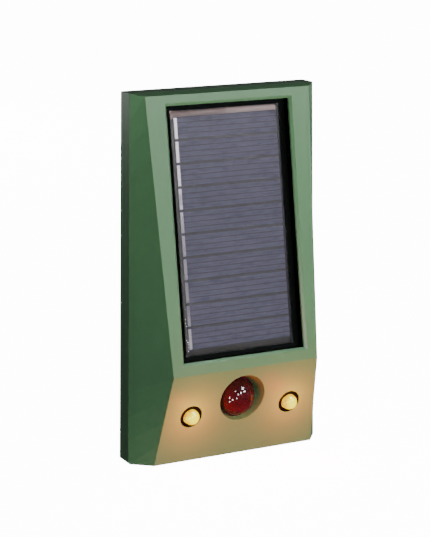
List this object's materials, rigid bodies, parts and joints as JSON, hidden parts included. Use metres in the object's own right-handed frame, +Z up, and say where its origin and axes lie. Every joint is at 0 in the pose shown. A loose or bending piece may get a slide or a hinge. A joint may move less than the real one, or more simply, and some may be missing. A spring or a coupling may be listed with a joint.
{
  "type": "solar ultrasonic pest repeller",
  "caption": "Wedge-shaped wall-hung case with a recessed solar panel, domed motion sensor, warning lights, a downward sound port, a battery door and a power switch.",
  "frame": {"origin": "on the wall plane, midway between the two keyhole entries of the rear cover", "axes": "+Z up along the case's length, +Y back into the wall, +X to the right seen from the front"},
  "size_m": [0.0978, 0.0329, 0.17],
  "materials": {
    "housing": "satin moulded ABS",
    "cover": "satin moulded ABS",
    "rubber_dark": "moulded rubber",
    "foam": "closed-cell foam",
    "steel": "zinc-plated",
    "tray_black": "fine grained",
    "tape_white": "foam tape",
    "backing": "glass-fibre laminate",
    "cells": "silicon with printed fingers",
    "ribbons": "tinned ribbon",
    "coating": "clear cast resin",
    "lead_red": "insulated lead",
    "lead_black": "insulated lead",
    "lens_red": "dark red filter plastic",
    "black_plastic": "fine grained",
    "sensor_window": "infrared filter",
    "light_yellow": "lit clear yellow resin",
    "board_green": "solder mask",
    "chip_black": "moulded epoxy",
    "tin": "tinned",
    "capacitor_sleeve": "shrink sleeve",
    "ferrite": "ferrite",
    "copper_wire": "enamelled copper",
    "nylon": "natural nylon",
    "aluminium": "drawn",
    "brass_disc": "brass",
    "phenolic": "pressed board",
    "mesh_steel": "woven wire",
    "cell_sleeve": "shrink sleeve",
    "nickel": "nickel-plated spring steel"
  },
  "bodies": {
    "housing": {"front_housing": "housing", "rear_cover": "cover", "housing_gasket": "rubber_dark", "cover_screws": "steel", "solar_tray": "tray_black", "tray_seal": "foam", "tray_screws": "steel", "solar_tape": "tape_white", "solar_backing": "backing", "solar_cells": "cells", "solar_ribbons": "ribbons", "solar_coating": "coating", "solar_lead_red": "lead_red", "solar_lead_black": "lead_black", "pir_lens": "lens_red", "pir_shroud": "black_plastic", "pir_sensor": "nickel", "pir_window": "sensor_window", "pir_legs": "tin", "light_left": "light_yellow", "light_right": "light_yellow", "light_holder_left": "black_plastic", "light_holder_right": "black_plastic", "light_legs": "tin", "circuit_board": "board_green", "board_screws": "steel", "chips": "chip_black", "chip_legs": "tin", "crystal": "nickel", "capacitors": "capacitor_sleeve", "coil_core": "ferrite", "coil_winding": "copper_wire", "transistor": "chip_black", "resistors": "ferrite", "connectors": "nylon", "solder_joints": "tin", "sound_grille": "black_plastic", "insect_mesh": "mesh_steel", "transducer_seal": "foam", "transducer_can": "aluminium", "transducer_cone": "aluminium", "transducer_disc": "brass_disc", "transducer_base": "phenolic", "transducer_lead_red": "lead_red", "transducer_lead_black": "lead_black", "battery_lower": "cell_sleeve", "battery_middle": "cell_sleeve", "battery_upper": "cell_sleeve", "battery_springs": "nickel", "battery_plates": "nickel", "battery_lead_red": "lead_red", "battery_lead_black": "lead_black", "switch_frame": "steel", "switch_base": "phenolic", "switch_screws": "steel", "switch_leads": "lead_red"},
    "battery_cover": {"battery_door": "cover", "door_gasket": "foam", "door_screws": "steel"},
    "power_slider": {"switch_knob": "black_plastic"}
  },
  "joints": [
    {"name": "power_switch_slide", "type": "slide", "parent": "housing", "child": "power_slider", "axis": [-1, 0, 0], "range_m": [0, 0.003]},
    {"name": "battery_door_lift", "type": "slide", "parent": "housing", "child": "battery_cover", "axis": [0, 1, 0], "range_m": [0, 0.02]}
  ]
}
